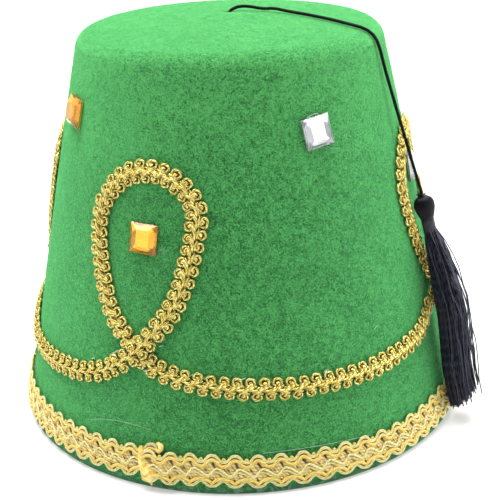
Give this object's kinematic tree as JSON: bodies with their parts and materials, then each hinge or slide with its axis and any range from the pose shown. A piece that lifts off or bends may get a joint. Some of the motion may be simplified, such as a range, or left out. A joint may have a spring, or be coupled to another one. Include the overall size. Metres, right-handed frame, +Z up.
{
  "type": "fez hat",
  "caption": "Tall tapered felt hat with a wavy braid round the rim, a looped scroll braid, glued square stones and a tassel on a cord from the top.",
  "frame": {"origin": "centre of the rim, on the plane that the hat stands on", "axes": "+Z up along the crown's axis, -Y towards the front, where the rim braid is joined a little to the left of the middle; the tassel hangs towards +X"},
  "size_m": [0.1944, 0.1938, 0.1693],
  "materials": {
    "green_felt": "pressed felt, matt with fine hairs",
    "gold_gimp": "satin cord braid",
    "gold_metallic": "metallic thread braid",
    "amber_stone": "foil-backed faceted acrylic",
    "clear_stone": "foil-backed faceted acrylic",
    "black_cord": "soft rayon thread"
  },
  "bodies": {
    "root": {"felt_crown": "green_felt", "hem_braid": "gold_gimp", "scroll_braid": "gold_metallic", "gem_loop_front": "amber_stone", "gem_mid_front_right": "clear_stone", "gem_loop_right": "clear_stone", "gem_mid_back_right": "amber_stone", "gem_loop_back": "amber_stone", "gem_mid_back_left": "clear_stone", "gem_loop_left": "clear_stone", "gem_mid_front_left": "amber_stone", "tassel_cord": "black_cord", "tassel": "black_cord", "tassel_binding": "black_cord"}
  },
  "joints": []
}
